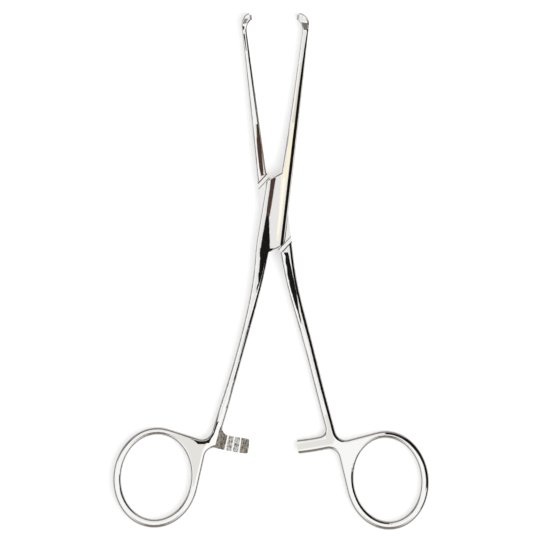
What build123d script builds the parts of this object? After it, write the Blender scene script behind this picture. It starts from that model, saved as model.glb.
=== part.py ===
from build123d import *
import os
from math import acos, atan2, cos, degrees, hypot, radians, sin, sqrt

# Tissue forceps with a box lock, ring handles and a ratchet, lying flat and partly open.
# Millimetres. The origin is on the lock pin's axis at the underside of the box, +Y runs to the jaws.
# Each half is drawn as it lies with the jaws shut, about the closing line x = 0, with z = 0 at
# mid thickness. Its frame then turns it about the lock pin to the open rest position.
# A side is +1 to the right of the closing line and -1 to the left of it.

# Rest position
open_half_angle = 6.85

# Box lock
box_thickness = 4.8
box_half_width = 4.05
box_side_lean = 0.45
box_edge_radius = 1.4
box_left_edge_radius = 0.7
box_outer_reach = 9.15
box_inner_reach = 12.0
cheek_bevel = 0.3
slot_thickness = 1.9
web_radius = 4.1
web_inner_offset = 1.3
widest_opening = 60.0

# Tongue of the male half
tongue_face_clearance = 0.05
tongue_side_clearance = 0.1
tongue_ledge = 0.6
tongue_ledge_reach = 11.1
tongue_edge_radius = 1.0
shoulder_angle = 40.0
shoulder_gap = 0.2

# Lock pin
pin_radius = 1.5
pin_head_radius = 1.9
pin_clearance = 0.04

# Arms from the box to the jaws
inner_edge_radius = 0.5
arm_length = 42.0
arm_neck_thickness = 2.6
arm_neck_corner = 0.5
arm_inner_corner = 0.8
arm_crown = 0.12
box_arm_bow = 2.7
box_arm_root_width = 3.5
box_arm_neck_width = 1.95
tongue_arm_bow = 2.45
tongue_arm_root_width = 3.0
tongue_arm_neck_width = 1.5

# Jaws
jaw_height = 6.4
jaw_face_height = 2.4
jaw_face_thickness = 4.7
jaw_hook_radius = 4.3
jaw_flare_start = 0.9
jaw_flare_length = 3.4
box_tip_length = 3.4
tongue_tip_length = 4.2
tooth_height = 0.6
tooth_tip = 0.08
tooth_length = 1.6
tooth_margin = 0.2
box_tooth_count = 5
bite_clearance = 0.08

# Shanks from the box to the handles
shank_length = 48.0
shank_bow = 4.85
shank_bow_drop = 26.5
shank_crown = 0.16
shank_end_width = 2.9
box_shank_end_offset = 8.4
box_shank_end_angle = 10.3
box_shank_root_width = 4.1
box_shank_waist = 2.4
box_shank_waist_share = 0.65
tongue_shank_end_offset = 7.65
tongue_shank_end_angle = 8.0
tongue_shank_root_width = 3.9
tongue_shank_waist = 2.85
tongue_shank_waist_share = 0.82

# Finger rings and heels
handle_thickness = 3.1
handle_edge_radius = 1.1
ring_bar = 2.6
ring_bar_extra = 0.2
box_ring_spread = 17.75
box_ring_drop = 14.6
box_ring_half_width = 10.35
box_ring_half_length = 12.6
tongue_ring_spread = 16.1
tongue_ring_drop = 15.3
tongue_ring_half_width = 9.95
tongue_ring_half_length = 12.4
neck_length = 8.3
crotch_drop = 2.4
crotch_radius = 3.0
box_heel_spread = 3.6
tongue_heel_spread = 2.15
heel_radius = 3.0
ratchet_root_radius = 2.0

# Ratchet
ratchet_width = 4.5
ratchet_gap = 0.1
ratchet_tooth_height = 0.5
ratchet_pitch = 2.05
ratchet_tooth_count = 3
ratchet_end_land = 2.85
ratchet_mill_spread = 1.3
ratchet_mill_margin = 1.2
ratchet_end_radius = 0.7
box_ratchet_lap = 0.45
tongue_ratchet_lap = 1.8

# Sizes that follow from the driving ones
mid_height = box_thickness / 2
tongue_thickness = slot_thickness - 2 * tongue_face_clearance
tongue_radius = web_radius - tongue_side_clearance
tooth_pitch = jaw_face_thickness / box_tooth_count
shank_end_reach = box_inner_reach + shank_length
ratchet_inner_radius = shank_end_reach + neck_length
ratchet_outer_radius = ratchet_inner_radius + ratchet_width
box_frame = Location((0, 0, mid_height), (0, 0, -open_half_angle))
tongue_frame = Location((0, 0, mid_height), (0, 0, open_half_angle))


def placed(frame, plane):
    """A plane of the closed drawing as it lies in a half's frame."""
    return Plane(frame * plane.location)


def spot(frame, x, y, z=0):
    """A point of the closed drawing as it lies in a half's frame."""
    return (frame * Location((x, y, z))).position


def cross_plane(frame, x, y, heading):
    """Plane across a member at a plan point. The heading is in degrees from +Y towards -X."""
    turn = radians(heading)
    forward = (-sin(turn), cos(turn), 0)
    across = (cos(turn), sin(turn), 0)
    return placed(frame, Plane(origin=(x, y, 0), x_dir=across, z_dir=forward))


def crowned(width, thickness, left_corner, right_corner, crown):
    """Sketch of a member's cross section: a rounded rectangle with its faces crowned, or flat at 0."""
    rim = thickness / 2 - crown
    with BuildSketch() as outline:
        with BuildLine():
            if crown:
                ThreePointArc((-width / 2, rim), (0, thickness / 2), (width / 2, rim))
                ThreePointArc((-width / 2, -rim), (0, -thickness / 2), (width / 2, -rim))
            else:
                Line((-width / 2, rim), (width / 2, rim))
                Line((-width / 2, -rim), (width / 2, -rim))
            Line((width / 2, rim), (width / 2, -rim))
            Line((-width / 2, -rim), (-width / 2, rim))
        make_face()
        by_side = outline.vertices().group_by(Axis.X)
        fillet(by_side[0], min(left_corner, 0.46 * width))
        by_side = outline.vertices().group_by(Axis.X)
        fillet(by_side[-1], min(right_corner, 0.46 * width))
    return outline.sketch


def lofted(sections):
    """Loft of crowned sections, each a plane with the width, thickness, left and right corner and crown."""
    with BuildPart() as member:
        for plane, *sizes in sections:
            with BuildSketch(plane):
                add(crowned(*sizes))
        loft()
    return member.part


def sided(side, outer, inner):
    """A member's outer and inner edge radius in order from left to right."""
    return (inner, outer) if side > 0 else (outer, inner)


def arm(frame, side, bow, root_width, neck_width, edge_radius):
    """Arm from the top of the box to the neck of the jaw, tapering evenly in width."""
    root_offset = box_half_width - root_width / 2
    sections = []
    for step in range(6):
        share = step / 5
        offset = root_offset + (bow - root_offset) * (1 - (1 - share) ** 2)
        width = root_width + (neck_width - root_width) * share
        thickness = arm_neck_thickness + (box_thickness - arm_neck_thickness) * (1 - share) ** 1.6
        outer = edge_radius + (arm_neck_corner - edge_radius) * share**3
        inner = inner_edge_radius + (arm_inner_corner - inner_edge_radius) * 4 * share * (1 - share)
        crown = arm_crown * 4 * share * (1 - share)
        plane = cross_plane(frame, side * offset, box_inner_reach + arm_length * share, 0)
        sections.append((plane, width, thickness, *sided(side, outer, inner), crown))
    return lofted(sections)


def jaw_plan(side, bow, neck_width, tip_length, base):
    """Sketch of a jaw seen from above: a neck that hooks inwards to the upright face of its tip."""
    top = base + jaw_height
    face_x = (tooth_height + bite_clearance) / 2
    inner_x = bow - neck_width / 2
    outer_x = bow + neck_width / 2
    hook_x = inner_x - jaw_hook_radius
    hook_turn = acos((face_x - hook_x) / jaw_hook_radius)
    hook_y = top - jaw_face_height - jaw_hook_radius * sin(hook_turn)
    start = 90 - side * 90
    with BuildSketch() as plan:
        with BuildLine():
            back = EllipticalCenterArc(
                (side * face_x, top - tip_length),
                outer_x - face_x,
                tip_length,
                start_angle=start,
                arc_size=side * 90,
            )
            hook = CenterArc((side * hook_x, hook_y), jaw_hook_radius, start, side * degrees(hook_turn))
            Polyline(back @ 0, (side * outer_x, base), (side * inner_x, base), hook @ 0)
            Line(hook @ 1, back @ 1)
        make_face()
    return plan.sketch


def jaw_profile(base):
    """Sketch of a jaw seen from the side: it flares from the neck's thickness to that of the face."""
    neck = arm_neck_thickness / 2
    face = jaw_face_thickness / 2
    start = base + jaw_flare_start
    end = start + jaw_flare_length
    with BuildSketch() as profile:
        with BuildLine():
            upper = Spline((start, neck), (end, face), tangents=[(1, 0), (1, 0)])
            lower = Spline((start, -neck), (end, -face), tangents=[(1, 0), (1, 0)])
            Polyline(upper @ 0, (base, neck), (base, -neck), lower @ 0)
            Polyline(upper @ 1, (base + jaw_height, face), (base + jaw_height, -face), lower @ 1)
        make_face()
    return profile.sketch


def jaw(frame, side, bow, neck_width, tip_length, tooth_count):
    """Hooked jaw that turns in from the neck and flares out to a row of interlocking teeth."""
    base = box_inner_reach + arm_length
    face_x = side * (tooth_height + bite_clearance) / 2
    tip_x = face_x - side * tooth_height
    tooth_base = base + jaw_height - jaw_face_height + tooth_margin
    sideways = Plane(origin=(-2 * bow, 0, 0), x_dir=(0, 1, 0), z_dir=(1, 0, 0))
    with BuildPart() as whole:
        with BuildSketch(placed(frame, Plane.XY.offset(-jaw_face_thickness))):
            add(jaw_plan(side, bow, neck_width, tip_length, base))
        extrude(amount=2 * jaw_face_thickness)
        with BuildSketch(placed(frame, sideways)):
            add(jaw_profile(base))
        extrude(amount=4 * bow, mode=Mode.INTERSECT)
        walls = whole.faces().filter_by(lambda face: abs(face.normal_at().Z) < 0.01)
        walls.remove(walls.sort_by_distance(spot(frame, side * bow, base))[0])
        walls.remove(walls.sort_by_distance(spot(frame, face_x, tooth_base + tooth_length / 2))[0])
        fillet(walls.edges().filter_by(Axis.Z, reverse=True), arm_neck_corner)
        with BuildSketch(placed(frame, Plane(origin=(0, tooth_base, 0), x_dir=(1, 0, 0), z_dir=(0, 1, 0)))):
            for index in range(tooth_count):
                middle = (index - (tooth_count - 1) / 2) * tooth_pitch
                with BuildLine():
                    Polyline(
                        (face_x, middle - tooth_pitch / 2),
                        (tip_x, middle - tooth_tip / 2),
                        (tip_x, middle + tooth_tip / 2),
                        (face_x, middle + tooth_pitch / 2),
                        close=True,
                    )
                make_face()
        extrude(amount=tooth_length)
    return whole.part


def shank(frame, side, root_outer, root_width, waist, waist_share, end_offset, end_angle, edge_radius):
    """Shank from the bottom of the box to the handle, narrowest at the waist."""
    root = (side * (root_outer - root_width / 2), -box_inner_reach)
    middle = (side * shank_bow, -box_inner_reach - shank_bow_drop)
    end = (side * end_offset, -shank_end_reach)
    end_turn = radians(end_angle)
    path = Spline(root, middle, end, tangents=[(0, -1), (side * sin(end_turn), -cos(end_turn))])
    sections = []
    for step in range(7):
        share = step / 6
        if share < waist_share:
            width = waist + (root_width - waist) * (1 - share / waist_share) ** 2
        else:
            width = waist + (shank_end_width - waist) * ((share - waist_share) / (1 - waist_share)) ** 2
        thickness = handle_thickness + (box_thickness - handle_thickness) * (1 - share) ** 3
        outer = handle_edge_radius + (edge_radius - handle_edge_radius) * (1 - share) ** 4
        inner = handle_edge_radius + (inner_edge_radius - handle_edge_radius) * (1 - share) ** 4
        crown = shank_crown * 4 * share * (1 - share)
        point = path @ share
        direction = path % share
        heading = degrees(atan2(direction.X, -direction.Y))
        plane = cross_plane(frame, point.X, point.Y, heading)
        sections.append((plane, width, thickness, *sided(side, outer, inner), crown))
    return lofted(sections)


def arm_angle(side, reach):
    """Polar angle, in degrees, of a place on the ratchet arm that far across the closing line."""
    return 270 + side * degrees(reach / ratchet_outer_radius)


def sector(side, inner_radius, outer_radius, from_reach, to_reach):
    """Sketch of a sector about the lock pin, between two reaches across the closing line."""
    first = arm_angle(side, from_reach)
    last = arm_angle(side, to_reach)
    with BuildSketch() as plan:
        with BuildLine():
            inner = CenterArc((0, 0), inner_radius, first, last - first)
            outer = CenterArc((0, 0), outer_radius, first, last - first)
            Line(inner @ 0, outer @ 0)
            Line(inner @ 1, outer @ 1)
        make_face()
    return plan.sketch


def touching(middle, half_width, half_length, start, turn):
    """Angle on an ellipse at which a line from the start touches it, on the side given by the turn."""
    across = (start.X - middle.X) / half_width
    along = (start.Y - middle.Y) / half_length
    return degrees(atan2(along, across) + turn * acos(1 / hypot(across, along)))


def arm_waste(side, end_offset, lap):
    """Sketch of what is sawn off past the end of a ratchet arm, which leaves its corners rounded."""
    end_angle = radians(arm_angle(side, -lap))
    middle_radius = (ratchet_inner_radius + ratchet_outer_radius) / 2
    with BuildSketch() as kept:
        add(sector(side, ratchet_inner_radius, ratchet_outer_radius, -lap, end_offset))
        near = (middle_radius * cos(end_angle), middle_radius * sin(end_angle))
        fillet(kept.vertices().sort_by_distance(near)[:2], ratchet_end_radius)
    past = -lap - 2 * crotch_radius
    rounded = -lap + ratchet_end_radius
    with BuildSketch() as waste:
        add(sector(side, ratchet_inner_radius / 2, 2 * ratchet_outer_radius, past, rounded))
        add(kept.sketch, mode=Mode.SUBTRACT)
    return waste.sketch


def handle(
    frame, side, end_offset, end_angle, ring_spread, ring_drop, half_width, half_length, heel_spread, lap
):
    """Finger ring, heel and ratchet arm at full thickness, forged in one with the end of the shank."""
    turn = radians(end_angle)
    down = Vector(side * sin(turn), -cos(turn))
    out = Vector(side * cos(turn), sin(turn))
    end = Vector(side * end_offset, -shank_end_reach)
    half = shank_end_width / 2
    stub_inner = end - down * crotch_radius - out * half
    stub_outer = end - down * crotch_radius + out * half
    crotch = end + out * half + down * ((neck_length + crotch_drop) / cos(turn))
    inner_side = end - out * half
    along = inner_side.dot(down)
    chord = sqrt(ratchet_inner_radius**2 - inner_side.dot(inner_side) + along**2)
    root = inner_side + down * (chord - along)
    root_angle = 360 + degrees(atan2(root.Y, root.X))
    arm_end = arm_angle(side, -lap - crotch_radius)
    heel_angle = arm_angle(side, end_offset + heel_spread)
    heel = Vector(cos(radians(heel_angle)), sin(radians(heel_angle))) * ratchet_outer_radius
    hole = Vector(side * (end_offset + ring_spread), -ratchet_inner_radius - ring_drop)
    rim = hole - Vector(0, ring_bar_extra)
    rim_width = half_width + ring_bar
    rim_length = half_length + ring_bar
    bar_angle = touching(rim, rim_width, rim_length, crotch, -side)
    flank_angle = touching(rim, rim_width, rim_length, heel, side)
    with BuildPart() as whole:
        with BuildSketch(placed(frame, Plane.XY.offset(-handle_thickness / 2))):
            with BuildLine():
                outer = CenterArc((0, 0), ratchet_outer_radius, arm_end, heel_angle - arm_end)
                inner = CenterArc((0, 0), ratchet_inner_radius, arm_end, root_angle - arm_end)
                ring = EllipticalCenterArc(
                    rim,
                    rim_width,
                    rim_length,
                    start_angle=bar_angle,
                    arc_size=flank_angle - bar_angle - side * 360,
                )
                Line(outer @ 0, inner @ 0)
                Polyline(inner @ 1, stub_inner, stub_outer, crotch, ring @ 0)
                Line(ring @ 1, outer @ 1)
            make_face()
            with Locations(hole):
                Ellipse(half_width, half_length, mode=Mode.SUBTRACT)
        extrude(amount=handle_thickness)
        for corner, radius in ((crotch, crotch_radius), (root, ratchet_root_radius), (heel, heel_radius)):
            near = whole.edges().filter_by(Axis.Z).sort_by_distance(spot(frame, corner.X, corner.Y))[0]
            fillet(near, radius)
        levels = whole.edges().group_by(Axis.Z)
        rims = levels[0] + levels[-1]
        for height in (-handle_thickness / 2, handle_thickness / 2):
            for sawn in (stub_inner + stub_outer, outer @ 0 + inner @ 0):
                sawn_edge = spot(frame, sawn.X / 2, sawn.Y / 2, height)
                rims.remove(rims.sort_by_distance(sawn_edge)[0])
        fillet(rims, handle_edge_radius)
        with BuildSketch(cross_plane(frame, end.X, end.Y, side * end_angle)):
            Rectangle(3 * shank_end_width, 2 * handle_thickness)
        extrude(amount=2 * crotch_radius, mode=Mode.SUBTRACT)
        with BuildSketch(placed(frame, Plane.XY.offset(-handle_thickness))):
            add(arm_waste(side, end_offset, lap))
        extrude(amount=2 * handle_thickness, mode=Mode.SUBTRACT)
    return whole.part


def ratchet_cut(frame, side, level, end_offset, lap):
    """Metal milled off one face of a ratchet arm, with the grooves between its teeth.

    The level is +1 where the teeth face up and -1 where they face down.
    """
    tip_z = -level * ratchet_gap / 2
    inner_radius = ratchet_inner_radius - ratchet_mill_margin
    outer_radius = ratchet_outer_radius + ratchet_mill_margin
    mill_end = end_offset + ratchet_mill_spread
    with BuildPart() as cut:
        with BuildSketch(placed(frame, Plane.XY.offset(tip_z))):
            add(sector(side, inner_radius, outer_radius, -lap - ratchet_mill_margin, mill_end))
        extrude(amount=level * handle_thickness)
        for index in range(ratchet_tooth_count):
            tip_reach = -lap + ratchet_end_land + index * ratchet_pitch
            angle = radians(arm_angle(side, tip_reach))
            start = (inner_radius * cos(angle), inner_radius * sin(angle), tip_z)
            to_shank = (-side * sin(angle), side * cos(angle), 0)
            groove = Plane(origin=start, x_dir=to_shank, z_dir=(cos(angle), sin(angle), 0))
            with BuildSketch(placed(frame, groove)):
                with BuildLine():
                    foot = (0, -side * level * ratchet_tooth_height)
                    Polyline((0, 0), foot, (ratchet_pitch, 0), close=True)
                make_face()
            extrude(amount=outer_radius - inner_radius)
    return cut.part


def lock_block(frame):
    """Box of the female half: two cheeks joined by a web at each end, with the slot between them."""
    arm_inner = box_half_width - box_arm_root_width
    shank_outer = box_half_width + box_side_lean
    shank_inner = box_shank_root_width - shank_outer
    cheek_corner = box_half_width - box_side_lean
    stop = radians(widest_opening)
    web_reach = (web_radius - web_inner_offset * cos(stop)) / sin(stop)
    far = 2 * box_half_width
    far_reach = (web_radius - far * cos(stop)) / sin(stop)
    middle_reach = (box_outer_reach + box_inner_reach) / 2
    with BuildPart() as block:
        with BuildSketch(placed(frame, Plane.XY.offset(-box_thickness / 2))):
            with BuildLine():
                Polyline(
                    (-cheek_corner, box_outer_reach),
                    (arm_inner, box_inner_reach),
                    (box_half_width, box_inner_reach),
                    (box_half_width, -box_outer_reach),
                    (shank_inner, -box_inner_reach),
                    (-shank_outer, -box_inner_reach),
                    (-shank_outer, -box_outer_reach),
                    close=True,
                )
            make_face()
        extrude(amount=box_thickness)
        for level in (-1, 1):
            height = level * box_thickness / 2
            right = spot(frame, box_half_width, 0, height)
            fillet(block.edges().sort_by_distance(right)[0], box_edge_radius)
            left = spot(frame, -box_half_width, 0, height)
            low_left = spot(frame, -shank_outer, -middle_reach, height)
            left_edges = [block.edges().sort_by_distance(near)[0] for near in (left, low_left)]
            fillet(left_edges, box_left_edge_radius)
        ends = []
        for level in (-1, 1):
            height = level * box_thickness / 2
            top = spot(frame, (arm_inner - box_half_width) / 2, middle_reach, height)
            bottom = spot(frame, (shank_inner + box_half_width) / 2, -middle_reach, height)
            ends.append(block.edges().sort_by_distance(top)[0])
            ends.append(block.edges().sort_by_distance(bottom)[0])
        chamfer(ends, cheek_bevel)
        with BuildSketch(placed(frame, Plane.XY.offset(-slot_thickness / 2))):
            with BuildLine():
                Polyline(
                    (arm_inner, box_inner_reach),
                    (web_inner_offset, web_reach),
                    (far, far_reach),
                    (far, -2 * box_inner_reach),
                    (shank_inner, -2 * box_inner_reach),
                    (shank_inner, -box_inner_reach),
                    (-web_inner_offset, -web_reach),
                    (-far, -far_reach),
                    (-far, 2 * box_inner_reach),
                    (arm_inner, 2 * box_inner_reach),
                    close=True,
                )
            make_face()
        extrude(amount=slot_thickness, mode=Mode.SUBTRACT)
    return block.part


def shoulder(frame, end, root_width):
    """Full-thickness end of an arm or shank, cut off at a slant where the thin tongue begins.

    The end is +1 at the jaws and -1 at the handle.
    """
    slant = radians(shoulder_angle)
    start_x = -end * (box_half_width + shoulder_gap * sin(slant))
    start_y = end * (box_outer_reach + shoulder_gap * cos(slant))
    run_x = end * 2 * box_half_width * cos(slant)
    run_y = end * 2 * box_half_width * sin(slant)
    offset = box_half_width - root_width / 2
    with BuildPart() as block:
        with BuildSketch(cross_plane(frame, -end * offset, end * box_inner_reach, 0)):
            add(crowned(root_width, box_thickness, *sided(-end, tongue_edge_radius, inner_edge_radius), 0))
        extrude(amount=end * (box_half_width - box_inner_reach))
        with BuildSketch(placed(frame, Plane.XY.offset(-box_thickness))):
            with BuildLine():
                Polyline(
                    (start_x - run_x, start_y - run_y),
                    (start_x + run_x, start_y + run_y),
                    (start_x + run_x, start_y - 2 * end * box_inner_reach),
                    (start_x - run_x, start_y - 2 * end * box_inner_reach),
                    close=True,
                )
            make_face()
        extrude(amount=2 * box_thickness, mode=Mode.SUBTRACT)
    return block.part


def tongue_plate(frame):
    """Thin tongue that turns in the slot, round about the lock pin and with a leg to each shoulder."""
    ledge_x = box_half_width - tongue_arm_root_width - tongue_ledge
    low_ledge_x = box_half_width - tongue_shank_root_width - tongue_ledge
    inner_x = web_inner_offset - tongue_side_clearance
    inner_y = sqrt(tongue_radius**2 - inner_x**2)
    root_reach = box_inner_reach + tongue_ledge / 2
    with BuildPart() as plate:
        with BuildSketch(placed(frame, Plane.XY.offset(-tongue_thickness / 2))):
            Circle(tongue_radius)
            with BuildLine():
                Polyline(
                    (-tongue_radius, 0),
                    (-tongue_radius, root_reach),
                    (-ledge_x - tongue_ledge, root_reach),
                    (-ledge_x, tongue_ledge_reach),
                    (inner_x, inner_y),
                    (tongue_radius, 0),
                    (tongue_radius, -root_reach),
                    (low_ledge_x + tongue_ledge, -root_reach),
                    (low_ledge_x, -tongue_ledge_reach),
                    (-inner_x, -inner_y),
                    close=True,
                )
            make_face()
        extrude(amount=tongue_thickness)
        Hole(pin_radius + pin_clearance)
    return plate.part


os.makedirs("parts", exist_ok=True)

# Lock pin, its ends spread into the cheeks and dressed flush with them
with BuildPart() as lock_pin:
    head_depth = pin_head_radius - pin_radius
    with BuildSketch(Plane.XZ):
        with BuildLine():
            Polyline(
                (0, 0),
                (pin_head_radius, 0),
                (pin_radius, head_depth),
                (pin_radius, box_thickness - head_depth),
                (pin_head_radius, box_thickness),
                (0, box_thickness),
                close=True,
            )
        make_face()
    revolve(axis=Axis.Z)

# Female half: right-hand jaw and arm, box, left-hand shank and ring, ratchet teeth facing up
with BuildPart() as box_half:
    add(lock_block(box_frame))
    add(lock_pin.part, mode=Mode.SUBTRACT)
    add(arm(box_frame, 1, box_arm_bow, box_arm_root_width, box_arm_neck_width, box_edge_radius))
    add(jaw(box_frame, 1, box_arm_bow, box_arm_neck_width, box_tip_length, box_tooth_count))
    add(
        shank(
            box_frame,
            -1,
            box_half_width + box_side_lean,
            box_shank_root_width,
            box_shank_waist,
            box_shank_waist_share,
            box_shank_end_offset,
            box_shank_end_angle,
            box_left_edge_radius,
        )
    )
    add(
        handle(
            box_frame,
            -1,
            box_shank_end_offset,
            box_shank_end_angle,
            box_ring_spread,
            box_ring_drop,
            box_ring_half_width,
            box_ring_half_length,
            box_heel_spread,
            box_ratchet_lap,
        )
    )
    add(ratchet_cut(box_frame, -1, 1, box_shank_end_offset, box_ratchet_lap), mode=Mode.SUBTRACT)

# Male half: left-hand jaw and arm, tongue, right-hand shank and ring, ratchet teeth facing down
with BuildPart() as tongue_half:
    add(tongue_plate(tongue_frame))
    add(shoulder(tongue_frame, 1, tongue_arm_root_width))
    add(shoulder(tongue_frame, -1, tongue_shank_root_width))
    add(
        arm(
            tongue_frame,
            -1,
            tongue_arm_bow,
            tongue_arm_root_width,
            tongue_arm_neck_width,
            tongue_edge_radius,
        )
    )
    add(
        jaw(
            tongue_frame,
            -1,
            tongue_arm_bow,
            tongue_arm_neck_width,
            tongue_tip_length,
            box_tooth_count - 1,
        )
    )
    add(
        shank(
            tongue_frame,
            1,
            box_half_width,
            tongue_shank_root_width,
            tongue_shank_waist,
            tongue_shank_waist_share,
            tongue_shank_end_offset,
            tongue_shank_end_angle,
            tongue_edge_radius,
        )
    )
    add(
        handle(
            tongue_frame,
            1,
            tongue_shank_end_offset,
            tongue_shank_end_angle,
            tongue_ring_spread,
            tongue_ring_drop,
            tongue_ring_half_width,
            tongue_ring_half_length,
            tongue_heel_spread,
            tongue_ratchet_lap,
        )
    )
    add(ratchet_cut(tongue_frame, 1, -1, tongue_shank_end_offset, tongue_ratchet_lap), mode=Mode.SUBTRACT)

lock_pin.part.label = "lock_pin"
export_step(lock_pin.part, "parts/lock_pin.step")
box_half.part.label = "box_half"
export_step(box_half.part, "parts/box_half.step")
tongue_half.part.label = "tongue_half"
export_step(tongue_half.part, "parts/tongue_half.step")
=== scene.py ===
import logging
from dataclasses import dataclass
from enum import Enum, IntEnum
from math import atan2, cos, hypot, radians, sin

import bpy
from mathutils import Matrix, Vector

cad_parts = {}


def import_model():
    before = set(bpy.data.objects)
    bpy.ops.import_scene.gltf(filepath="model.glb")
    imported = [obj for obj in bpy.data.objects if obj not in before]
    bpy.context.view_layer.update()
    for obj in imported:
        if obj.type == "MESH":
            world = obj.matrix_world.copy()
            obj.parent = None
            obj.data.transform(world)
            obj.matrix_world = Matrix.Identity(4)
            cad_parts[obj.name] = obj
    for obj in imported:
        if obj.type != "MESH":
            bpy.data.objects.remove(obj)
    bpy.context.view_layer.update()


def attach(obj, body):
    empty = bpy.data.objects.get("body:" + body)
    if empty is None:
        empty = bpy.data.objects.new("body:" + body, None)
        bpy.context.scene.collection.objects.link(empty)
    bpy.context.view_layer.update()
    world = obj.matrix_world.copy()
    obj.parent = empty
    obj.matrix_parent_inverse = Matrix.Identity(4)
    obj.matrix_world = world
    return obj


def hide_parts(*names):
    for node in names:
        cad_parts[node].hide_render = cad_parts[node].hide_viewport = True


LOG = logging.getLogger("tissue_forceps")

Socket = bpy.types.NodeSocket
Colour = tuple[float, float, float]
Range = tuple[float, float]

MM_PER_METRE = 1000

# Height of the box's middle plane, and how far each half is turned from closed, at rest.
MID_HEIGHT = 0.0024
OPEN_HALF_ANGLE = radians(6.85)
BOX_TURN = -OPEN_HALF_ANGLE
TONGUE_TURN = OPEN_HALF_ANGLE

# Steel that polishing never reached, in the open; then painted shade, dark colours that stand in
# for the shade deep in the box's slot and in the seam beside each shoulder's slanted end.
BARE_STEEL: Colour = (0.96, 0.955, 0.945)
SLOT_SHADE: Colour = (0.20, 0.185, 0.17)
SEAM_SHADE: Colour = (0.06, 0.055, 0.05)

# What the polish mirrors.
WHITE: Colour = (1.0, 1.0, 1.0)
BRIGHT: Colour = (1.08, 1.08, 1.07)
SHADE: Colour = (0.86, 0.84, 0.80)
CREAM: Colour = (1.06, 0.98, 0.78)
GLINT: Colour = (1.12, 1.10, 1.0)
BEIGE: Colour = (0.84, 0.77, 0.66)
GREY: Colour = (0.30, 0.28, 0.25)
BROWN: Colour = (0.085, 0.047, 0.036)
BLACK: Colour = (0.010, 0.009, 0.008)

# Heights of the far cards, then of the strips over members, notch and webs.
CEILING = 1.0
UNDER_CEILING = 0.98
ZENITH = 0.5
STRIP_HEIGHT = 0.012
NOTCH_HEIGHT = 0.010
WEB_HEIGHT = 0.006

# Step between strips that overlap, and between the floor and the sheets that lie on it.
LAYER = 0.0001
SHEET = 0.000005

# Where the bent cards end, from the zenith, and the slant of the shade on the right ratchet.
BENT_END = radians(88)
RATCHET_SLANT = radians(9.5)


class Half(Enum):
    """The two forged halves, each with the way it is turned from the closed position."""

    BOX = -1
    TONGUE = 1

    @property
    def node(self) -> str:
        """Name of the half's CAD node."""
        return "box_half" if self is Half.BOX else "tongue_half"

    @property
    def body(self) -> str:
        """Name of the body that the half rides on."""
        return "box_body" if self is Half.BOX else "tongue_body"

    @property
    def turn(self) -> float:
        """Angle from the closed position to the rest position, in radians."""
        return self.value * OPEN_HALF_ANGLE

    def closed(self, point: Vector) -> Vector:
        """Turns a point or a direction of the half back to where it is with the jaws shut."""
        return Matrix.Rotation(-self.turn, 3, "Z") @ point


def select_only(piece: bpy.types.Object) -> None:
    """Selects one object alone and makes it the active one.

    Args:
        piece: The object to select.
    """
    bpy.ops.object.select_all(action="DESELECT")
    piece.hide_set(False)
    piece.select_set(True)
    bpy.context.view_layer.objects.active = piece


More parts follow.
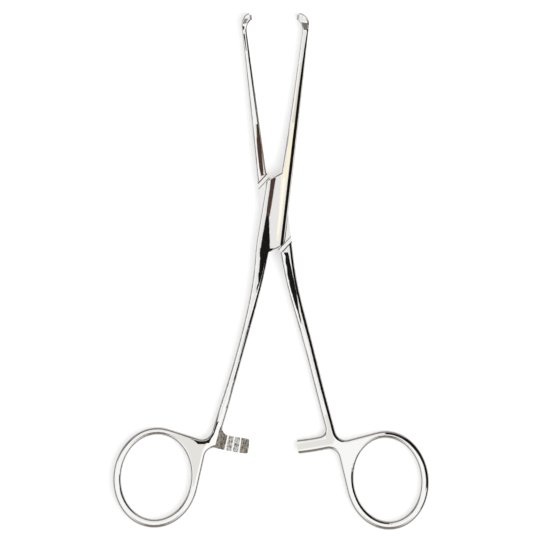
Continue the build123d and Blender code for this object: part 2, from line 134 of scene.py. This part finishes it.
class Graph:
    """The nodes of one material, with short ways to add and join them.

    The Mix node's colours are found by their places, as it has the same names more than once.
    """

    MIX_COLOURS = (6, 7)
    MIX_RESULT = 2

    def __init__(self, name: str) -> None:
        """Starts a material.

        Args:
            name: The material's name.
        """
        self.material = bpy.data.materials.new(name)
        self.material.use_nodes = True
        self.tree = self.material.node_tree
        self.shader = self.tree.nodes["Principled BSDF"]

    def add(self, kind: str, **inputs: float | tuple) -> bpy.types.Node:
        """Adds a node.

        Args:
            kind: The node's type, without the word ShaderNode.
            inputs: Values for its input sockets, with underscores for spaces.

        Returns:
            The new node.
        """
        node = self.tree.nodes.new("ShaderNode" + kind)
        for name, value in inputs.items():
            node.inputs[name.replace("_", " ")].default_value = value
        return node

    def join(self, source: Socket, target: Socket) -> None:
        """Joins an output to an input."""
        self.tree.links.new(source, target)

    def math(self, operation: str, first: Socket | float, second: Socket | float) -> Socket:
        """Adds a sum, product or the like.

        Args:
            operation: The Math node's operation.
            first: A socket or a number.
            second: A socket or a number.

        Returns:
            The result's socket.
        """
        node = self.tree.nodes.new("ShaderNodeMath")
        node.operation = operation
        for slot, value in enumerate((first, second)):
            if isinstance(value, Socket):
                self.join(value, node.inputs[slot])
            else:
                node.inputs[slot].default_value = value
        return node.outputs["Value"]

    def place(self, turn: float = 0.0, scale: tuple[float, float, float] = (1, 1, 1)) -> Socket:
        """Adds object coordinates, turned and then scaled.

        Args:
            turn: Turn about Z, in radians.
            scale: Scale along the turned axes.

        Returns:
            The coordinates' socket.
        """
        source = self.add("TexCoord")
        turned = self.add("Mapping", Rotation=(0, 0, turn))
        self.join(source.outputs["Object"], turned.inputs["Vector"])
        scaled = self.add("Mapping", Scale=scale)
        self.join(turned.outputs["Vector"], scaled.inputs["Vector"])
        return scaled.outputs["Vector"]

    def noise(self, place: Socket, scale: float, detail: float) -> Socket:
        """Adds a noise over some coordinates.

        Args:
            place: The coordinates.
            scale: Cells to the metre.
            detail: How many finer octaves it has.

        Returns:
            The noise's value, from 0 to 1.
        """
        node = self.add("TexNoise", Scale=scale, Detail=detail)
        self.join(place, node.inputs["Vector"])
        return node.outputs["Fac"]

    def ranged(self, value: Socket, source: Range, target: Range) -> Socket:
        """Maps a value from one range to another.

        Args:
            value: The value to map.
            source: Its lowest and highest.
            target: What those become.

        Returns:
            The mapped value's socket.
        """
        node = self.add(
            "MapRange",
            From_Min=source[0],
            From_Max=source[1],
            To_Min=target[0],
            To_Max=target[1],
        )
        self.join(value, node.inputs["Value"])
        return node.outputs["Result"]

    def between(self, share: Socket, first: Socket, second: float) -> Socket:
        """Goes from one value to another.

        Args:
            share: How far it goes, from 0 to 1.
            first: The value at 0.
            second: The value at 1.

        Returns:
            The value's socket.
        """
        node = self.add("Mix")
        self.join(share, node.inputs["Factor"])
        self.join(first, node.inputs["A"])
        node.inputs["B"].default_value = second
        return node.outputs["Result"]

    def mixed(self, share: Socket, first: Socket | Colour, second: Socket | Colour) -> Socket:
        """Blends two colours.

        Args:
            share: How much of the second colour shows, from 0 to 1.
            first: The colour at 0.
            second: The colour at 1.

        Returns:
            The blend's socket.
        """
        node = self.add("Mix")
        node.data_type = "RGBA"
        self.join(share, node.inputs["Factor"])
        for slot, colour in zip(self.MIX_COLOURS, (first, second), strict=True):
            if isinstance(colour, Socket):
                self.join(colour, node.inputs[slot])
            else:
                node.inputs[slot].default_value = (*colour, 1)
        return node.outputs[self.MIX_RESULT]

    def bump(self, height: Socket, depth: float, under: Socket | None) -> Socket:
        """Adds relief.

        Args:
            height: The relief's height.
            depth: Metres for a height of 1.
            under: The normal that it lies on, if any.

        Returns:
            The new normal's socket.
        """
        node = self.add("Bump", Strength=1.0, Distance=depth)
        self.join(height, node.inputs["Height"])
        if under is not None:
            self.join(under, node.inputs["Normal"])
        return node.outputs["Normal"]


@dataclass(frozen=True)
class PolishedSteel:
    """Mirror-polished stainless steel, buffed along the instrument.

    Polishing by hand left the flats of the box half a little crowned near the pin.
    """

    half: Half
    colour: Colour = (0.9, 0.9, 0.895)
    roughness: Range = (0.025, 0.07)
    haze_spread: Range = (0.3, 0.75)
    haze_scale: float = 420.0
    hairline_scale: float = 9000.0
    hairline_stretch: float = 0.02
    hairline_depth: float = 0.000001
    ripple_scale: float = 130.0
    ripple_depth: float = 0.00002
    dimple_scale: float = 900.0
    dimple_depth: float = 0.000004
    box_crown: float = 14.8
    crown_reach: Range = (0.010, 0.034)

    @property
    def crown_curve(self) -> float:
        """Curvature of the half's flats, in radians to the metre."""
        return self.box_crown if self.half is Half.BOX else 0.0

    def material(self) -> bpy.types.Material:
        """Builds the finish.

        Returns:
            The material with its nodes.
        """
        graph = Graph("polished_" + self.half.node)
        shader = graph.shader
        shader.inputs["Base Color"].default_value = (*self.colour, 1)
        shader.inputs["Metallic"].default_value = 1.0
        haze = graph.noise(graph.place(), self.haze_scale, detail=5.0)
        rough = graph.ranged(haze, self.haze_spread, self.roughness)
        graph.join(rough, shader.inputs["Roughness"])
        along = graph.place(-self.half.turn, (1, self.hairline_stretch, 1))
        hairlines = graph.noise(along, self.hairline_scale, detail=2.0)
        ripple = graph.noise(graph.place(), self.ripple_scale, detail=1.0)
        dimples = graph.noise(graph.place(), self.dimple_scale, detail=2.0)
        normal = graph.bump(self.crown(graph), depth=1.0, under=None)
        normal = graph.bump(ripple, self.ripple_depth, normal)
        normal = graph.bump(dimples, self.dimple_depth, normal)
        normal = graph.bump(hairlines, self.hairline_depth, normal)
        graph.join(normal, shader.inputs["Normal"])
        return graph.material

    def crown(self, graph: Graph) -> Socket:
        """Adds the height that polishing took off the flats, across the half.

        Args:
            graph: The material's nodes.

        Returns:
            The height's socket, in metres.
        """
        split = graph.add("SeparateXYZ")
        graph.join(graph.place(-self.half.turn), split.inputs["Vector"])
        across = split.outputs["X"]
        reach = graph.math("ABSOLUTE", split.outputs["Y"], 0.0)
        fade = graph.ranged(reach, self.crown_reach, (1.0, 0.0))
        square = graph.math("MULTIPLY", across, across)
        return graph.math("MULTIPLY", graph.math("MULTIPLY", square, -self.crown_curve / 2), fade)


@dataclass(frozen=True)
class MilledSteel:
    """Satin steel of the milled ratchet, streaked by the cutter, with a painted highlight along the
    tips.

    A tooth's tip is found from its reach: how far it lies from the closing line, round the
    ratchet's arc. Reaches, widths and the pitch are in millimetres.
    """

    half: Half
    prefix: str = "milled_"
    dark: Colour = (0.09, 0.072, 0.055)
    light: Colour = (0.62, 0.57, 0.50)
    spread: Range = (0.42, 0.62)
    roughness: Range = (0.24, 0.46)
    grain_spread: Range = (0.3, 0.7)
    grain_scale: float = 1700.0
    line_scale: float = 5200.0
    line_stretch: float = 0.14
    line_depth: float = 0.000006
    crest_highlight: Colour = (0.97, 0.97, 0.96)
    crest_highlight_width: float = 0.5
    crest_highlight_roughness: float = 0.1
    arc_radius: float = 72.8
    pitch: float = 2.05
    crest_highlight_pitches: float = 2.5
    box_first_tip: float = 2.4
    tongue_first_tip: float = 1.05

    @property
    def first_tip(self) -> float:
        """Reach of the half's first tooth tip."""
        return self.box_first_tip if self.half is Half.BOX else self.tongue_first_tip

    def material(self) -> bpy.types.Material:
        """Builds the finish.

        Returns:
            The material with its nodes.
        """
        graph = Graph(self.prefix + self.half.node)
        shader = graph.shader
        shader.inputs["Metallic"].default_value = 1.0
        along = graph.place(-self.half.turn, (1, self.line_stretch, 1))
        grain = graph.noise(graph.place(), self.grain_scale, detail=4.0)
        streaks = graph.noise(along, self.line_scale, detail=3.0)
        tear = graph.math("MULTIPLY", graph.math("ADD", grain, streaks), 0.5)
        colour = graph.mixed(graph.ranged(tear, self.spread, (0.0, 1.0)), self.dark, self.light)
        # The tips get a near-white painted highlight, with less roughness.
        tips = self.tips(graph)
        graph.join(graph.mixed(tips, colour, self.crest_highlight), shader.inputs["Base Color"])
        rough = graph.ranged(grain, self.grain_spread, self.roughness)
        graph.join(graph.between(tips, rough, self.crest_highlight_roughness), shader.inputs["Roughness"])
        relief = graph.math("MULTIPLY", streaks, graph.math("SUBTRACT", 1.0, tips))
        graph.join(graph.bump(relief, self.line_depth, None), shader.inputs["Normal"])
        return graph.material

    def tips(self, graph: Graph) -> Socket:
        """Marks the strips of painted highlight along the tips of the teeth.

        Args:
            graph: The material's nodes.

        Returns:
            A socket that is 1 on a strip and 0 off it.
        """
        split = graph.add("SeparateXYZ")
        graph.join(graph.place(-self.half.turn), split.inputs["Vector"])
        across = graph.math("MULTIPLY", split.outputs["X"], float(self.half.value))
        angle = graph.math("ARCTAN2", across, graph.math("MULTIPLY", split.outputs["Y"], -1.0))
        reach = graph.math("MULTIPLY", angle, self.arc_radius)
        start = self.first_tip - self.crest_highlight_width / 2
        beyond = graph.math("SUBTRACT", reach, start)
        within = graph.math("LESS_THAN", graph.math("MODULO", beyond, self.pitch), self.crest_highlight_width)
        before = graph.math("GREATER_THAN", beyond, 0.0)
        after = graph.math("LESS_THAN", beyond, self.crest_highlight_pitches * self.pitch)
        return graph.math("MULTIPLY", within, graph.math("MULTIPLY", before, after))


@dataclass(frozen=True)
class MachinedSteel:
    """Dull machined steel of the slot, the tongue and the teeth, which polishing never reached.
    In the box half's slot it is given a dark colour, which is painted shade.

    A seam is a line of painted shade, near black, on the tongue beside the slanted end of a
    shoulder, from one distance to another.
    """

    half: Half
    prefix: str
    colour: Colour = BARE_STEEL
    roughness: Range = (0.12, 0.22)
    grain_spread: Range = (0.3, 0.7)
    grain_scale: float = 1500.0
    seam_shade_colour: Colour = SEAM_SHADE
    seam_angle: float = radians(40)
    seam_reach: float = 0.0093
    seam_offset: float = 0.00418
    seams: tuple[Range, ...] = ((-0.00030, 0.0001), (-0.00150, -0.00132))

    def material(self) -> bpy.types.Material:
        """Builds the finish.

        Returns:
            The material with its nodes.
        """
        graph = Graph(self.prefix + self.half.node)
        shader = graph.shader
        shader.inputs["Metallic"].default_value = 1.0
        # Only the tongue gets the seams' painted shade.
        if self.half is Half.TONGUE:
            colour = graph.mixed(self.seam(graph), self.colour, self.seam_shade_colour)
            graph.join(colour, shader.inputs["Base Color"])
        else:
            shader.inputs["Base Color"].default_value = (*self.colour, 1)
        grain = graph.noise(graph.place(), self.grain_scale, detail=3.0)
        rough = graph.ranged(grain, self.grain_spread, self.roughness)
        graph.join(rough, shader.inputs["Roughness"])
        return graph.material

    def seam(self, graph: Graph) -> Socket:
        """Marks the lines of painted shade on the tongue beside the slanted end of each shoulder.

        Args:
            graph: The material's nodes.

        Returns:
            A socket that is 1 on a line and 0 off it.
        """
        split = graph.add("SeparateXYZ")
        graph.join(graph.place(-self.half.turn), split.inputs["Vector"])
        end = graph.math("SIGN", split.outputs["Y"], 0.0)
        out_x = graph.math("MULTIPLY", split.outputs["X"], end)
        out_y = graph.math("MULTIPLY", split.outputs["Y"], end)
        across = graph.math("ADD", out_x, self.seam_offset)
        along = graph.math("SUBTRACT", out_y, self.seam_reach)
        beyond = graph.math(
            "SUBTRACT",
            graph.math("MULTIPLY", along, cos(self.seam_angle)),
            graph.math("MULTIPLY", across, sin(self.seam_angle)),
        )
        line = None
        for low, high in self.seams:
            after = graph.math("GREATER_THAN", beyond, low)
            within = graph.math("MULTIPLY", after, graph.math("LESS_THAN", beyond, high))
            line = within if line is None else graph.math("MAXIMUM", line, within)
        return line


class Finish(IntEnum):
    """Material slots of a forged half, in the order in which they are added."""

    POLISHED = 0
    MILLED = 1
    TOOTH = 2
    SLOT = 3
    BITE = 4


@dataclass
class ForgedHalf:
    """One forged half of the forceps, with its faces welded and its shading smoothed.

    Faces get their finish by where they lie, in metres with the jaws shut, and by how much of
    their normal points up, down or outward: upright, level and least_facing are such shares.
    """

    half: Half
    slot: str = "polished_steel"
    slot_reach: float = 0.0122
    slot_half_height: float = 0.00098
    upright: float = 0.9
    side_reach: float = 0.0038
    weld_distance: float = 0.000002
    quad_bend: float = radians(2)
    quad_skew: float = radians(30)
    sharp_angle: float = radians(32)
    face_weight: int = 50
    ratchet_radii: Range = (0.0668, 0.0744)
    ratchet_end: float = 0.0097
    groove_depth: float = 0.00056
    level: float = 0.995
    least_facing: float = 0.1
    smooth_reach: float = 0.0065
    bite_reach: float = 0.0575
    bite_half_width: float = 0.0004

    def build(self) -> bpy.types.Object:
        """Copies the CAD node, welds it and dresses it.

        Returns:
            The finished piece, riding on its body.
        """
        piece = self.copy_node()
        self.weld(piece)
        self.dress(piece)
        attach(piece, self.half.body)
        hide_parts(self.half.node)
        LOG.info("%s: %d faces", piece.name, len(piece.data.polygons))
        return piece

    def copy_node(self) -> bpy.types.Object:
        """Copies the CAD node into a piece of its own.

        Returns:
            The copy, free of the node's parent and marks.
        """
        select_only(bpy.data.objects[self.half.node])
        bpy.ops.object.duplicate()
        piece = bpy.context.active_object
        piece.name = self.half.node + "_forging"
        piece.parent = None
        for key in list(piece.keys()):
            del piece[key]
        return piece

    def weld(self, piece: bpy.types.Object) -> None:
        """Merges the copy's faces into one skin and smooths its shading.

        Args:
            piece: The copy of the CAD node.
        """
        select_only(piece)
        bpy.ops.mesh.customdata_custom_splitnormals_clear()
        bpy.ops.object.mode_set(mode="EDIT")
        bpy.ops.mesh.select_all(action="SELECT")
        bpy.ops.mesh.remove_doubles(threshold=self.weld_distance)
        bpy.ops.mesh.tris_convert_to_quads(
            face_threshold=self.quad_bend, shape_threshold=self.quad_skew
        )
        bpy.ops.object.mode_set(mode="OBJECT")
        bpy.ops.object.shade_smooth_by_angle(angle=self.sharp_angle)
        weighted = piece.modifiers.new("weighted", "WEIGHTED_NORMAL")
        weighted.keep_sharp = True
        weighted.weight = self.face_weight
        bpy.ops.object.modifier_apply(modifier=weighted.name)

    def dress(self, piece: bpy.types.Object) -> None:
        """Gives the piece its finishes and each face the one that it was worked to.

        Args:
            piece: The welded piece.
        """
        # The box half's slot gets painted shade, a dark colour for the shade deep in the slot; the
        # tongue's keeps bare steel.
        slot_steel_and_shade = SLOT_SHADE if self.half is Half.BOX else BARE_STEEL
        finishes = {
            Finish.POLISHED: PolishedSteel(self.half),
            Finish.MILLED: MilledSteel(self.half),
            # The tooth flanks get a lighter copy of the milled steel, painted light for how their
            # slope catches the light.
            Finish.TOOTH: MilledSteel(
                self.half, "tooth_", light=(1.0, 0.98, 0.95), spread=(0.41, 0.55)
            ),
            Finish.SLOT: MachinedSteel(self.half, "slot_", slot_steel_and_shade),
            Finish.BITE: MachinedSteel(self.half, "bite_", roughness=(0.46, 0.56)),
        }
        piece.data.materials.clear()
        for finish in Finish:
            piece.data.materials.append(finishes[finish].material())
        for face in piece.data.polygons:
            face.material_index = self.finish_of(face.center, face.normal)

    def finish_of(self, centre: Vector, normal: Vector) -> Finish:
        """Tells how a face was finished, from where it lies and which way it faces.

        Args:
            centre: The face's middle.
            normal: The way it faces.

        Returns:
            The finish.
        """
        place = self.half.closed(centre)
        steep = abs(normal.z) < self.upright
        if place.y > self.bite_reach and abs(place.x) < self.bite_half_width and steep:
            return Finish.BITE
        beside_slot = abs(centre.z - MID_HEIGHT) < self.slot_half_height
        if beside_slot and abs(place.y) < self.slot_reach and not self.is_side(place, normal):
            return Finish.SLOT
        low, high = self.ratchet_radii
        reach = place.x * self.half.value
        on_ratchet = low < hypot(place.x, place.y) < high and place.y <= 0
        if not on_ratchet or reach > self.ratchet_end:
            return Finish.POLISHED
        drop = (MID_HEIGHT - centre.z) * -self.half.value
        facing = normal.z * -self.half.value
        if not 0 < drop < self.groove_depth or facing < self.least_facing:
            return Finish.POLISHED
        if facing > self.level or reach > self.smooth_reach:
            return Finish.MILLED
        return Finish.TOOTH

    def is_side(self, place: Vector, normal: Vector) -> bool:
        """Tells whether a face near the slot is the half's own outer side.

        Args:
            place: The face's middle with the jaws shut.
            normal: The way it faces at rest.

        Returns:
            True where the face looks away from the lock pin, across the half.
        """
        facing = self.half.closed(normal)
        outward = facing.x * place.x > 0
        return abs(facing.x) > self.upright and outward and abs(place.x) > self.side_reach


@dataclass
class LockPin:
    """The rivet of the box lock, polished flush with the box."""

    node: str = "lock_pin"
    slot: str = "pin_steel"

    def build(self) -> bpy.types.Object:
        """Dresses the CAD node, which is left in place.

        Returns:
            The pin's node.
        """
        pin = bpy.data.objects[self.node]
        steel = PolishedSteel(Half.BOX).material()
        steel.name = self.slot
        for holder in pin.material_slots:
            holder.material = steel
        LOG.info("%s: %d faces", pin.name, len(pin.data.polygons))
        return pin


@dataclass(frozen=True)
class Card:
    """A level sheet that only the metal sees, hung to draw a band in its polish.

    Its two corners are given in metres, as they lie before its turn about the lock pin.
    """

    name: str
    colour: Colour
    low: tuple[float, float]
    high: tuple[float, float]
    height: float
    turn: float = 0.0

    def build(self) -> None:
        """Adds the card, level, between its two corners, and turns it about the lock pin."""
        size = (self.high[0] - self.low[0], self.high[1] - self.low[1])
        middle = ((self.high[0] + self.low[0]) / 2, (self.high[1] + self.low[1]) / 2)
        bpy.ops.object.select_all(action="DESELECT")
        bpy.ops.mesh.primitive_plane_add(size=1, location=(*middle, self.height))
        card = bpy.context.active_object
        card.scale = (*size, 1)
        bpy.ops.object.transform_apply(location=True, rotation=False, scale=True)
        turn_about_pin(card, self.turn)
        hang(card, self.name, self.colour)


@dataclass(frozen=True)
class Strip:
    """A low tapered card, close over one member, which draws a wedge in its polish.

    Each end is given by its place across, its place along and its width, in millimetres, as
    they are before the strip's turn about the lock pin.
    """

    name: str
    colour: Colour
    start: tuple[float, float, float]
    end: tuple[float, float, float]
    height: float
    turn: float = 0.0

    def build(self) -> None:
        """Adds the strip between its two ends and turns it about the lock pin."""
        bpy.ops.object.select_all(action="DESELECT")
        bpy.ops.mesh.primitive_plane_add(size=1)
        card = bpy.context.active_object
        for vertex in card.data.vertices:
            share = vertex.co.y + 0.5
            middle, reach, width = (
                first + (last - first) * share
                for first, last in zip(self.start, self.end, strict=True)
            )
            across = middle + vertex.co.x * width
            vertex.co = (across / MM_PER_METRE, reach / MM_PER_METRE, self.height)
        turn_about_pin(card, self.turn)
        hang(card, self.name, self.colour)


def turn_about_pin(card: bpy.types.Object, turn: float) -> None:
    """Turns a card about the lock pin, by an angle in radians."""
    card.rotation_euler = (0, 0, turn)
    bpy.ops.object.transform_apply(location=False, rotation=True, scale=False)


def hang(card: bpy.types.Object, name: str, colour: Colour) -> None:
    """Makes an object a card: part of the stage, seen in reflections and by nothing else.

    Args:
        card: The card's object.
        name: Its name.
        colour: How bright the metal sees it.
    """
    card.name = name
    material = bpy.data.materials.new(name)
    material.use_nodes = True
    tree = material.node_tree
    tree.nodes.clear()
    glow = tree.nodes.new("ShaderNodeEmission")
    glow.inputs["Color"].default_value = (*colour, 1)
    output = tree.nodes.new("ShaderNodeOutputMaterial")
    tree.links.new(glow.outputs["Emission"], output.inputs["Surface"])
    card.data.materials.append(material)
    card.visible_camera = False
    card.visible_diffuse = False
    card.visible_shadow = False
    card.visible_transmission = False


@dataclass(frozen=True)
class CurvedCard:
    """A card bent round the length of the forceps, like the dark side of a light tent."""

    name: str
    colour: Colour
    tilt: Range
    reach: Range
    radius: float = 0.16
    facets: int = 96

    def build(self) -> None:
        """Adds a cylinder along Y and keeps the facets between the two tilts from the zenith."""
        length = self.reach[1] - self.reach[0]
        middle = (self.reach[0] + self.reach[1]) / 2
        bpy.ops.object.select_all(action="DESELECT")
        bpy.ops.mesh.primitive_cylinder_add(
            vertices=self.facets,
            radius=self.radius,
            depth=length,
            end_fill_type="NOTHING",
            location=(0, middle, 0),
            rotation=(radians(90), 0, 0),
        )
        card = bpy.context.active_object
        bpy.ops.object.transform_apply(location=True, rotation=True, scale=True)
        bpy.ops.object.mode_set(mode="EDIT")
        bpy.ops.mesh.select_mode(type="FACE")
        bpy.ops.mesh.select_all(action="DESELECT")
        bpy.ops.object.mode_set(mode="OBJECT")
        low, high = self.tilt
        for face in card.data.polygons:
            face.select = not low < atan2(face.center.x, face.center.z) < high
        bpy.ops.object.mode_set(mode="EDIT")
        bpy.ops.mesh.delete(type="FACE")
        bpy.ops.object.mode_set(mode="OBJECT")
        hang(card, self.name, self.colour)


@dataclass(frozen=True)
class Horizon:
    """Low wall all round, which draws the thin lines along the edges of the metal."""

    name: str
    colour: Colour
    low: float
    high: float
    radius: float = 1.0
    facets: int = 128

    def build(self) -> None:
        """Adds the wall as an open cylinder."""
        bpy.ops.object.select_all(action="DESELECT")
        bpy.ops.mesh.primitive_cylinder_add(
            vertices=self.facets,
            radius=self.radius,
            depth=self.high - self.low,
            end_fill_type="NOTHING",
            location=(0, 0, (self.low + self.high) / 2),
        )
        hang(bpy.context.active_object, self.name, self.colour)


# Far cards and walls draw the rims and the grey of the flats. Cards and strips close over the
# members draw the bands and wedges, and the bent ones the dark right-hand edges.
CARDS: tuple[Card | Strip | CurvedCard | Horizon, ...] = (
    Card("far_floor_dark", (0.08, 0.068, 0.06), (-1.0, -1.0), (1.0, 1.0), -3 * SHEET),
    Card("floor_shade", (0.81, 0.79, 0.76), (-0.13, -0.15), (0.13, 0.12), -2 * SHEET),
    Horizon("horizon_dark", (0.04, 0.034, 0.03), 0.0, 0.28),
    Horizon("horizon_grey", (0.36, 0.35, 0.34), 0.28, 0.58),
    Card("zenith_grey", (0.89, 0.88, 0.87), (-0.09, -0.055), (0.09, 0.09), ZENITH),
    Card("ring_white", (1.03, 1.03, 1.02), (-0.12, -0.16), (0.12, -0.055), ZENITH),
    Strip("left_web_low_shade", SHADE, (-25.0, -82.0, 1.5), (-24.3, -71.2, 5.4), WEB_HEIGHT),
    Strip("left_web_high_shade", SHADE, (-24.3, -71.2, 5.4), (-25.4, -66.0, 13.0), WEB_HEIGHT),
    Strip(
        "left_web_low_white",
        BRIGHT,
        (-23.7, -82.0, 1.3),
        (-20.2, -71.2, 3.2),
        WEB_HEIGHT - LAYER,
    ),
    Strip(
        "left_web_high_white",
        BRIGHT,
        (-20.2, -71.2, 3.2),
        (-16.9, -65.2, 1.9),
        WEB_HEIGHT - LAYER,
    ),
    Strip(
        "left_notch_dark",
        BLACK,
        (-22.1, -69.4, 2.2),
        (-22.4, -67.2, 6.6),
        WEB_HEIGHT - 2 * LAYER,
    ),
    Strip(
        "left_notch_crescent",
        BLACK,
        (-20.7, -69.1, 1.7),
        (-18.0, -62.5, 2.0),
        WEB_HEIGHT - 2 * LAYER,
    ),
    Strip("right_shank_shade", SHADE, (16.6, -68.7, 2.4), (14.9, -60.7, 1.5), WEB_HEIGHT),
    Strip(
        "right_ratchet_shade",
        SHADE,
        (0.1, -71.3, 11.2),
        (0.1, -69.5, 11.2),
        WEB_HEIGHT,
        RATCHET_SLANT,
    ),
    Card("south_grey", (0.20, 0.18, 0.155), (-0.4, -1.72), (0.4, -0.42), CEILING),
    Card("north_brown", (0.12, 0.095, 0.075), (-0.9, 1.15), (0.9, 1.72), CEILING),
    Card("north_grey", (0.42, 0.40, 0.38), (-0.9, 0.60), (0.9, 1.15), CEILING),
    Card("north_west_black", BLACK, (-1.35, 0.30), (-0.42, 1.0), UNDER_CEILING),
    Card("left_arm_white", WHITE, (-0.0062, 0.0276), (0.0004, 0.052), STRIP_HEIGHT, TONGUE_TURN),
    Strip("left_neck_dark", BLACK, (-8.8, 48.6, 0.9), (-10.0, 53.6, 2.1), WEB_HEIGHT),
    Strip("left_jaw_shade", GREY, (-9.3, 56.2, 1.8), (-8.6, 58.3, 1.2), WEB_HEIGHT),
    Strip("left_arm_root", BROWN, (-2.6, 11.7, 1.8), (-2.3, 20.0, 5.0), STRIP_HEIGHT, TONGUE_TURN),
    Strip("left_arm_brown", BROWN, (-2.3, 20.0, 5.0), (-0.9, 27.5, 1.8), STRIP_HEIGHT, TONGUE_TURN),
    Strip("right_arm_root", CREAM, (1.95, 10.9, 2.45), (2.25, 28.0, 3.6), STRIP_HEIGHT, BOX_TURN),
    Strip("right_arm_cream", BEIGE, (2.25, 28.0, 3.6), (3.2, 46.0, 1.4), STRIP_HEIGHT, BOX_TURN),
    Strip("box_cream", CREAM, (2.15, -8.3, 0.8), (1.95, 10.8, 2.35), STRIP_HEIGHT, BOX_TURN),
    Strip(
        "box_glint",
        GLINT,
        (2.05, -6.5, 0.35),
        (1.9, 10.8, 0.95),
        STRIP_HEIGHT - LAYER,
        BOX_TURN,
    ),
    Strip("box_brown", BROWN, (-2.4, -1.3, 1.35), (-2.0, 10.4, 1.85), STRIP_HEIGHT, BOX_TURN),
    Strip("box_black", BLACK, (-1.86, -12.5, 3.9), (-2.5, -1.3, 1.15), STRIP_HEIGHT, BOX_TURN),
    Strip("left_shank_black", BLACK, (-2.2, -10.8, 6.3), (-5.3, -24.5, 0.3), STRIP_HEIGHT),
    Strip("right_shank_root", BLACK, (3.5, -12.4, 1.5), (5.7, -24.2, 3.6), STRIP_HEIGHT),
    Strip("right_shank_black", BLACK, (5.7, -24.2, 3.6), (7.2, -34.0, 0.3), STRIP_HEIGHT),
    CurvedCard("side_dark", BLACK, (radians(12), BENT_END), (-0.062, 0.085)),
    Strip("notch_black", BLACK, (-21.4, -66.6, 1.8), (-25.0, -58.5, 6.0), NOTCH_HEIGHT),
    CurvedCard("low_side_dark", BLACK, (radians(31), BENT_END), (-0.09, -0.062)),
    CurvedCard("ring_side_dark", BLACK, (radians(58), BENT_END), (-0.15, -0.09)),
)


@dataclass
class Studio:
    """White floor, even light with a soft key, cards, and the camera that looks straight down."""

    floor_size: float = 3.0
    floor_drop: float = 4 * SHEET
    floor_roughness: float = 0.9
    view_width: float = 0.165
    view_centre: tuple[float, float] = (0.0, -0.0187)
    camera_height: float = 1.2
    camera_reach: float = 10.0
    roll: float = radians(0.13)
    floor_white: float = 0.64
    floor_glow: float = 0.43
    sky_strength: float = 0.8
    key_place: tuple[float, float, float] = (0.50, -0.25, 0.85)
    key_size: float = 0.9
    key_power: float = 8.0
    cards: tuple[Card | Strip | CurvedCard | Horizon, ...] = CARDS

    def build(self) -> None:
        """Sets the whole stage."""
        self.camera()
        self.floor()
        self.sky()
        self.key()
        for card in self.cards:
            card.build()
            LOG.info("card %s", card.name)

    def camera(self) -> None:
        """Adds the camera at the photo's viewing angle."""
        bpy.ops.object.camera_add(location=(*self.view_centre, self.camera_height))
        camera = bpy.context.active_object
        camera.rotation_euler = (0, 0, -self.roll)
        camera.data.type = "ORTHO"
        camera.data.ortho_scale = self.view_width
        camera.data.clip_end = self.camera_reach
        bpy.context.scene.camera = camera

    def floor(self) -> None:
        """Adds the white floor just under the forceps, greyer for the light that it throws back."""
        bpy.ops.object.select_all(action="DESELECT")
        bpy.ops.mesh.primitive_plane_add(size=self.floor_size, location=(0, 0, -self.floor_drop))
        floor = bpy.context.active_object
        floor.name = "floor"
        graph = Graph("floor_white")
        graph.shader.inputs["Roughness"].default_value = self.floor_roughness
        graph.shader.inputs["Specular IOR Level"].default_value = 0.0
        path = graph.add("LightPath")
        seen = graph.math("MAXIMUM", path.outputs["Is Camera Ray"], path.outputs["Is Glossy Ray"])
        seen = graph.math("MAXIMUM", seen, path.outputs["Is Transmission Ray"])
        graph.shader.inputs["Base Color"].default_value = (*(self.floor_white,) * 3, 1)
        graph.shader.inputs["Emission Color"].default_value = (1, 1, 1, 1)
        glow = graph.math("MULTIPLY", seen, self.floor_glow)
        graph.join(glow, graph.shader.inputs["Emission Strength"])
        floor.data.materials.append(graph.material)

    def sky(self) -> None:
        """Adds the even light, which the camera and the metal see as plain white."""
        world = bpy.data.worlds.new("studio")
        bpy.context.scene.world = world
        world.use_nodes = True
        tree = world.node_tree
        background = tree.nodes["Background"]
        background.inputs["Color"].default_value = (1, 1, 1, 1)
        path = tree.nodes.new("ShaderNodeLightPath")
        seen = path.outputs["Is Camera Ray"]
        for ray in ("Is Glossy Ray", "Is Transmission Ray"):
            either = tree.nodes.new("ShaderNodeMath")
            either.operation = "MAXIMUM"
            tree.links.new(seen, either.inputs[0])
            tree.links.new(path.outputs[ray], either.inputs[1])
            seen = either.outputs["Value"]
        strength = tree.nodes.new("ShaderNodeMapRange")
        strength.inputs["To Min"].default_value = self.sky_strength
        strength.inputs["To Max"].default_value = 1.0
        tree.links.new(seen, strength.inputs["Value"])
        tree.links.new(strength.outputs["Result"], background.inputs["Strength"])

    def key(self) -> None:
        """Adds the soft key light, low on the right, which throws the shadow up and to the left."""
        bpy.ops.object.light_add(type="AREA", location=self.key_place)
        key = bpy.context.active_object
        key.data.size = self.key_size
        key.data.energy = self.key_power
        key.rotation_euler = (-key.location).to_track_quat("-Z", "Y").to_euler()
        key.visible_glossy = False


def main() -> None:
    """Builds the pieces in order."""
    logging.basicConfig(level=logging.INFO, format="%(message)s")
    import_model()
    bpy.context.scene.view_settings.view_transform = "Standard"
    for half in Half:
        ForgedHalf(half).build()
    LockPin().build()
    Studio().build()


if __name__ == "__main__":
    main()
